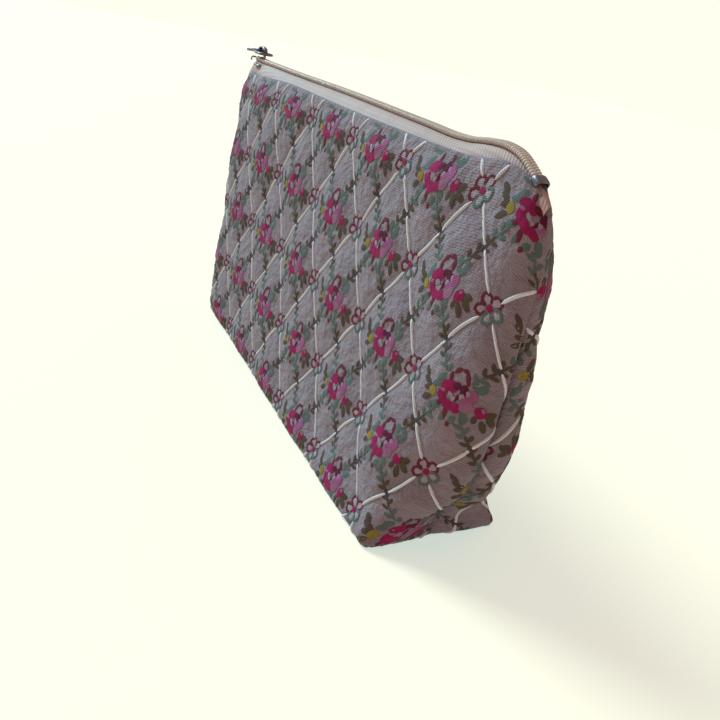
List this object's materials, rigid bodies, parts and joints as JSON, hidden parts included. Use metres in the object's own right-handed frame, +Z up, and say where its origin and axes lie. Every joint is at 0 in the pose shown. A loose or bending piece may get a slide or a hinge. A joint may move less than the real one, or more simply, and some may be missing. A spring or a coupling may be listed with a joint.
{
  "type": "makeup bag",
  "caption": "Soft padded zip pouch with a boxed flat base, ends that flare out to the zip, patterned cloth walls and a small metal zip pull.",
  "frame": {"origin": "middle of the underside of the base", "axes": "+X along the zip, away from the end where the slider rests closed; +Y from the front wall to the back wall; +Z up"},
  "size_m": [0.26, 0.056, 0.1359],
  "materials": {
    "outer_cloth": "woven jacquard with a raised trellis, small roses and leafy vines on a pale lilac-grey ground",
    "wadding": "soft polyester wadding",
    "lining_cloth": "plain woven cotton, cream",
    "zip_tape": "herringbone woven polyester tape, cream",
    "zip_coil": "nylon monofilament coil, cream",
    "zip_metal": "cast zinc with a dark nickel plating, lightly worn"
  },
  "bodies": {
    "bag": {"outer_base": "outer_cloth", "outer_side_left": "outer_cloth", "outer_side_right": "outer_cloth", "wadding_base": "wadding", "wadding_side_left": "wadding", "wadding_side_right": "wadding", "lining_base": "lining_cloth", "lining_side_left": "lining_cloth", "lining_side_right": "lining_cloth", "zip_end_left": "zip_tape", "zip_end_right": "zip_tape", "zip_coil_end": "zip_coil", "top_stops": "zip_metal", "bottom_stop": "zip_metal"},
    "front_wall": {"outer_front": "outer_cloth", "wadding_front": "wadding", "lining_front": "lining_cloth", "zip_tape_front": "zip_tape", "zip_coil_front": "zip_coil"},
    "back_wall": {"outer_back": "outer_cloth", "wadding_back": "wadding", "lining_back": "lining_cloth", "zip_tape_back": "zip_tape", "zip_coil_back": "zip_coil"},
    "slider_body": {"slider": "zip_metal"},
    "pull": {"slider_pull": "zip_metal"}
  },
  "joints": [
    {"name": "front_wall_swing", "type": "hinge", "parent": "bag", "child": "front_wall", "pos_m": [0, -0.02743, 0.0043], "axis": [1, 0, 0], "range_deg": [0, 12]},
    {"name": "back_wall_swing", "type": "hinge", "parent": "bag", "child": "back_wall", "pos_m": [0, 0.02743, 0.0043], "axis": [-1, 0, 0], "range_deg": [0, 12]},
    {"name": "slider_run", "type": "slide", "parent": "bag", "child": "slider_body", "axis": [1, 0, 0], "range_m": [0, 0.19]},
    {"name": "pull_swing", "type": "hinge", "parent": "slider_body", "child": "pull", "pos_m": [-0.113, 0, 0.1339], "axis": [0, 1, 0], "range_deg": [0, 180]}
  ],
  "couplings": [
    {"joint": "back_wall_swing", "follows": "front_wall_swing", "ratio": 1},
    {"joint": "slider_run", "follows": "front_wall_swing", "m_per_rad": 0.907}
  ]
}
